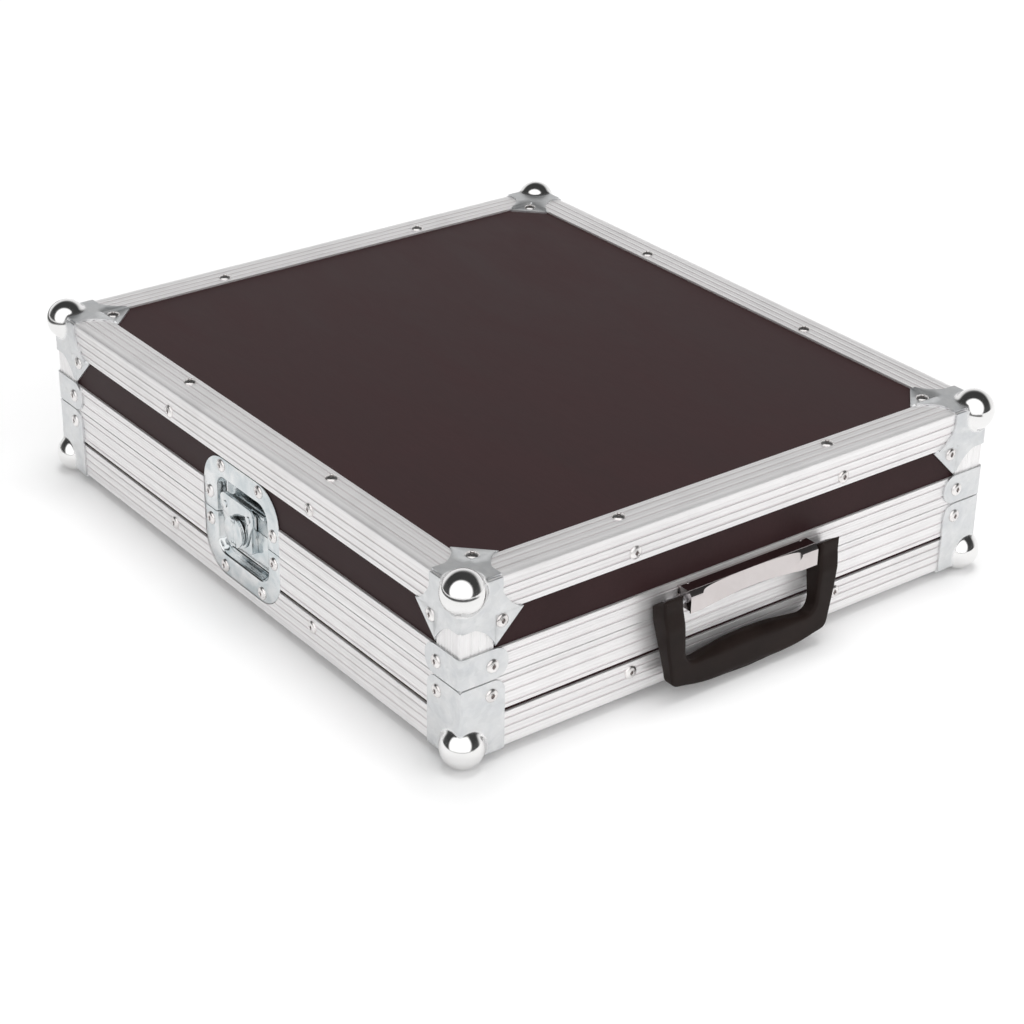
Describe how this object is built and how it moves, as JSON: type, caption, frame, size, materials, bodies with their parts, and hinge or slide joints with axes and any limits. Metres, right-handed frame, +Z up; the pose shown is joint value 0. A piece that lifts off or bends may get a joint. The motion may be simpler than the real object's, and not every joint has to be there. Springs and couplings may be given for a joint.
{
  "type": "controller case",
  "caption": "Flat brown plywood case in ribbed aluminium angle with ball corners, a lift-off lid, recessed twist latches and a hinged carrying handle on one side.",
  "frame": {"origin": "on the ground under the middle of the case with its handle: the centre of the bounding box's bottom face", "axes": "+Z up, -Y towards the side with the handle, X along that side, the latches on the -X and +X sides"},
  "size_m": [0.409, 0.4704, 0.1215],
  "materials": {
    "plywood": "phenolic film, satin, fine grain",
    "aluminium": "anodised, satin",
    "zinc": "bright zinc plate",
    "rivet": "satin",
    "nickel": "nickel plate, mirror",
    "steel": "drawn rod",
    "grip": "moulded, fine texture",
    "latch": "pressed and zinc plated",
    "foam": "open-cell foam"
  },
  "bodies": {
    "base": {"base_panel": "plywood", "base_wall_front": "plywood", "base_wall_back": "plywood", "base_wall_left": "plywood", "base_wall_right": "plywood", "base_edge_front": "aluminium", "base_edge_back": "aluminium", "base_edge_left": "aluminium", "base_edge_right": "aluminium", "base_rim_front": "aluminium", "base_rim_back": "aluminium", "base_rim_left": "aluminium", "base_rim_right": "aluminium", "base_corner_front_left": "zinc", "base_corner_front_right": "zinc", "base_corner_back_left": "zinc", "base_corner_back_right": "zinc", "base_foam": "foam", "base_rivets": "rivet", "latch_dish_lower_left": "latch", "latch_dish_lower_right": "latch", "latch_frame_left": "latch", "latch_frame_right": "latch"},
    "lid": {"lid_panel": "plywood", "lid_wall_front": "plywood", "lid_wall_back": "plywood", "lid_wall_left": "plywood", "lid_wall_right": "plywood", "lid_edge_front": "aluminium", "lid_edge_back": "aluminium", "lid_edge_left": "aluminium", "lid_edge_right": "aluminium", "lid_rim_front": "aluminium", "lid_rim_back": "aluminium", "lid_rim_left": "aluminium", "lid_rim_right": "aluminium", "lid_posts": "aluminium", "lid_corner_front_left": "zinc", "lid_corner_front_right": "zinc", "lid_corner_back_left": "zinc", "lid_corner_back_right": "zinc", "lid_brace_front_left": "zinc", "lid_brace_front_right": "zinc", "lid_brace_back_left": "zinc", "lid_brace_back_right": "zinc", "lid_foam": "foam", "lid_rivets": "rivet", "latch_dish_upper_left": "latch", "latch_dish_upper_right": "latch", "handle_bracket": "nickel", "handle_bar": "steel"},
    "handle": {"handle_grip": "grip"},
    "claw_left": {"latch_claw_left": "latch"},
    "key_left": {"latch_spindle_left": "latch"},
    "wing_front_left": {"latch_wing_front_left": "latch"},
    "wing_back_left": {"latch_wing_back_left": "latch"},
    "claw_right": {"latch_claw_right": "latch"},
    "key_right": {"latch_spindle_right": "latch"},
    "wing_front_right": {"latch_wing_front_right": "latch"},
    "wing_back_right": {"latch_wing_back_right": "latch"}
  },
  "joints": [
    {"name": "lid_lift", "type": "slide", "parent": "base", "child": "lid", "axis": [0, 0, 1], "range_m": [0, 0.15]},
    {"name": "handle_swing", "type": "hinge", "parent": "lid", "child": "handle", "pos_m": [0, -0.22725, 0.062], "axis": [-1, 0, 0], "range_deg": [0, 90]},
    {"name": "left_key_turn", "type": "hinge", "parent": "base", "child": "key_left", "pos_m": [-0.197, 0.00825, 0.048], "axis": [-1, 0, 0], "range_deg": [0, 180]},
    {"name": "left_claw_slide", "type": "slide", "parent": "base", "child": "claw_left", "axis": [0, 0, 1], "range_m": [0, 0.0045]},
    {"name": "left_front_wing_fold", "type": "hinge", "parent": "key_left", "child": "wing_front_left", "pos_m": [-0.1984, 0.00715, 0.048], "axis": [0, 0, -1], "range_deg": [0, 90]},
    {"name": "left_back_wing_fold", "type": "hinge", "parent": "key_left", "child": "wing_back_left", "pos_m": [-0.1984, 0.00935, 0.048], "axis": [0, 0, 1], "range_deg": [0, 90]},
    {"name": "right_key_turn", "type": "hinge", "parent": "base", "child": "key_right", "pos_m": [0.197, -0.00475, 0.048], "axis": [1, 0, 0], "range_deg": [0, 180]},
    {"name": "right_claw_slide", "type": "slide", "parent": "base", "child": "claw_right", "axis": [0, 0, 1], "range_m": [0, 0.0045]},
    {"name": "right_front_wing_fold", "type": "hinge", "parent": "key_right", "child": "wing_front_right", "pos_m": [0.1984, -0.00585, 0.048], "axis": [0, 0, 1], "range_deg": [0, 90]},
    {"name": "right_back_wing_fold", "type": "hinge", "parent": "key_right", "child": "wing_back_right", "pos_m": [0.1984, -0.00365, 0.048], "axis": [0, 0, -1], "range_deg": [0, 90]}
  ],
  "couplings": [
    {"joint": "left_claw_slide", "follows": "left_key_turn", "m_per_rad": 0.0014324},
    {"joint": "right_claw_slide", "follows": "right_key_turn", "m_per_rad": 0.0014324}
  ]
}
